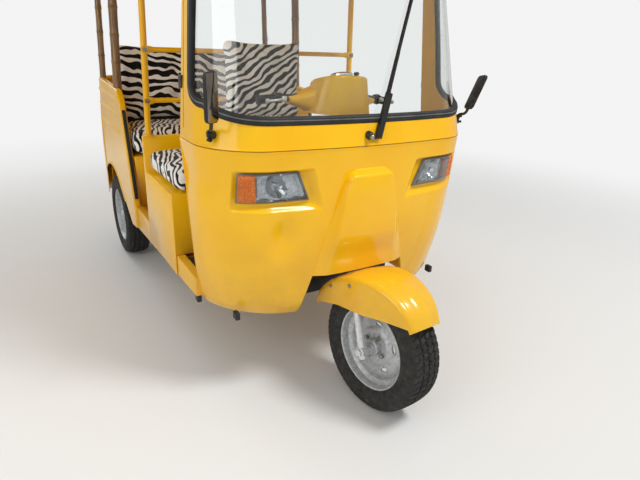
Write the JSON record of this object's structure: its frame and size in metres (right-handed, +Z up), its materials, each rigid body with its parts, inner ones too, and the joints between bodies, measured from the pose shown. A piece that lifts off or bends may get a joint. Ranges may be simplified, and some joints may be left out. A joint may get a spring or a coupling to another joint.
{
  "type": "auto rickshaw",
  "caption": "Auto rickshaw with a steered front wheel, open cab, rear passenger bench and a roof carried on bamboo posts.",
  "frame": {"origin": "on the ground, under the middle of the vehicle", "axes": "+Y towards the rear, +X towards the vehicle's left, +Z up"},
  "size_m": [1.32, 2.6782, 1.8619],
  "materials": {
    "body_paint": "gloss",
    "frame_paint": "gloss",
    "glass": "gloss",
    "seal_rubber": "matte",
    "lamp_lens": "gloss",
    "tail_lens": "gloss",
    "black_plastic": "matte",
    "zebra_cover": "matte",
    "bamboo": "satin",
    "roof_skin": "satin",
    "chassis_paint": "satin",
    "fork_metal": "satin",
    "wheel_silver": "satin",
    "tyre_rubber": "matte",
    "engine_alloy": "satin",
    "mat_rubber": "matte",
    "bar_steel": "satin",
    "dial_chrome": "gloss"
  },
  "bodies": {
    "body": {"front_shell": "body_paint", "apron": "body_paint", "windscreen_frame": "body_paint", "windscreen_seal": "seal_rubber", "windscreen_glass": "glass", "headlamp_right": "lamp_lens", "headlamp_left": "lamp_lens", "wiper": "black_plastic", "mirror_right": "black_plastic", "mirror_left": "black_plastic", "floor_pan": "body_paint", "dashboard": "black_plastic", "driver_seat_box": "body_paint", "driver_cushion": "zebra_cover", "driver_back_frame": "frame_paint", "driver_backrest": "zebra_cover", "rear_side_right": "body_paint", "rear_side_left": "body_paint", "rear_panel": "body_paint", "rear_deck": "body_paint", "rear_seat_base": "body_paint", "rear_cushion": "zebra_cover", "rear_backrest": "zebra_cover", "bamboo_posts_front": "bamboo", "bamboo_posts_rear": "bamboo", "roof_frame": "frame_paint", "roof_panel": "roof_skin", "chassis": "chassis_paint", "steering_head": "chassis_paint", "rear_arm_right": "chassis_paint", "rear_arm_left": "chassis_paint", "engine": "engine_alloy", "engine_beam": "chassis_paint", "tail_lamps": "tail_lens", "floor_mat": "mat_rubber"},
    "engine_lid": {"engine_lid": "body_paint"},
    "steering": {"fork": "fork_metal", "front_fender": "body_paint", "handlebar": "bar_steel", "handlebar_cowl": "body_paint", "instruments": "dial_chrome"},
    "front_wheel": {"front_tyre": "tyre_rubber", "front_rim": "wheel_silver"},
    "rear_right_wheel": {"rear_right_tyre": "tyre_rubber", "rear_right_rim": "wheel_silver"},
    "rear_left_wheel": {"rear_left_tyre": "tyre_rubber", "rear_left_rim": "wheel_silver"}
  },
  "joints": [
    {"name": "steering", "type": "hinge", "parent": "body", "child": "steering", "pos_m": [0, -0.9994, 0.25616], "axis": [0, 0.3173, 0.9483], "range_deg": [-43, 29]},
    {"name": "front_wheel_spin", "type": "hinge", "parent": "steering", "child": "front_wheel", "pos_m": [0.00925, -1.07886, 0.25598], "axis": [0.9925, 0.1156, -0.0387], "continuous": true},
    {"name": "rear_right_wheel_spin", "type": "hinge", "parent": "body", "child": "rear_right_wheel", "pos_m": [-0.508, 0.9506, 0.254], "axis": [1, 0, 0], "continuous": true},
    {"name": "rear_left_wheel_spin", "type": "hinge", "parent": "body", "child": "rear_left_wheel", "pos_m": [0.508, 0.9506, 0.254], "axis": [1, 0, 0], "continuous": true},
    {"name": "engine_lid_hinge", "type": "hinge", "parent": "body", "child": "engine_lid", "pos_m": [0, 1.3296, 0.663], "axis": [1, 0, 0], "range_deg": [0, 85]}
  ]
}
